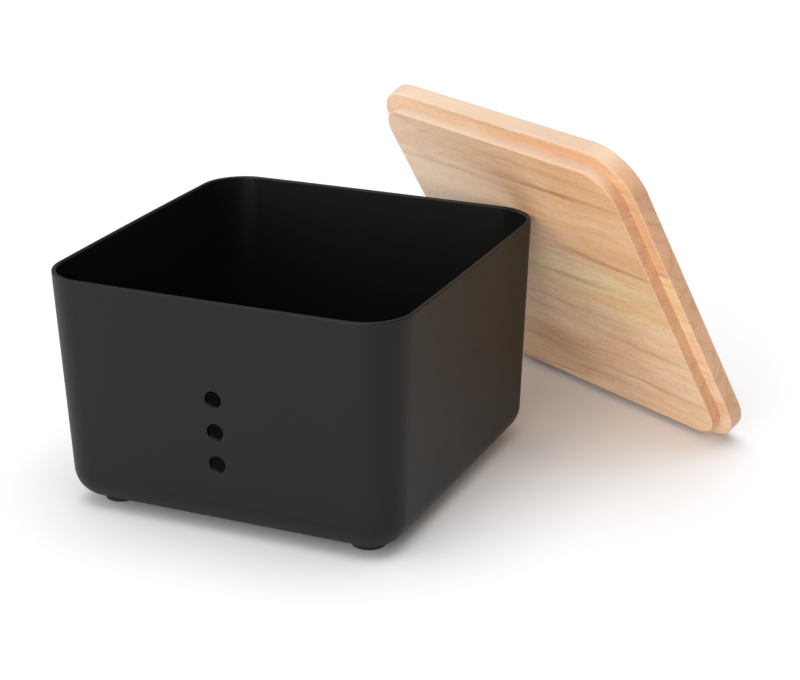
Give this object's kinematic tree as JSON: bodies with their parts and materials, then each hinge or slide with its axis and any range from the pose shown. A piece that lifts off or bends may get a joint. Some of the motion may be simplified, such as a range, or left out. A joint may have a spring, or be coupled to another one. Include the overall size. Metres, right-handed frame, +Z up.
{
  "type": "potato storage bin",
  "caption": "Square moulded storage bin with vent holes in its front wall, rubber feet and a loose rebated wooden lid, which stands behind it and leans on its rim.",
  "frame": {"origin": "on the floor, midway between the four feet, under the middle of the bin", "axes": "+Z up; -Y out of the wall with the vents; +X to the right of someone who faces that wall"},
  "size_m": [0.3755, 0.3832, 0.2231],
  "materials": {
    "bin_plastic": "satin",
    "foot_rubber": "matte",
    "lid_wood": "satin"
  },
  "bodies": {
    "bin": {"bin_body": "bin_plastic", "foot_front_left": "foot_rubber", "foot_front_right": "foot_rubber", "foot_back_left": "foot_rubber", "foot_back_right": "foot_rubber"},
    "lid": {"lid_stave_1": "lid_wood", "lid_stave_2": "lid_wood", "lid_stave_3": "lid_wood", "lid_stave_4": "lid_wood", "lid_stave_5": "lid_wood"}
  },
  "joints": [
    {"name": "lid_lift", "type": "slide", "parent": "bin", "child": "lid", "axis": [0, 0, 1], "range_m": [0, 0.2]}
  ]
}
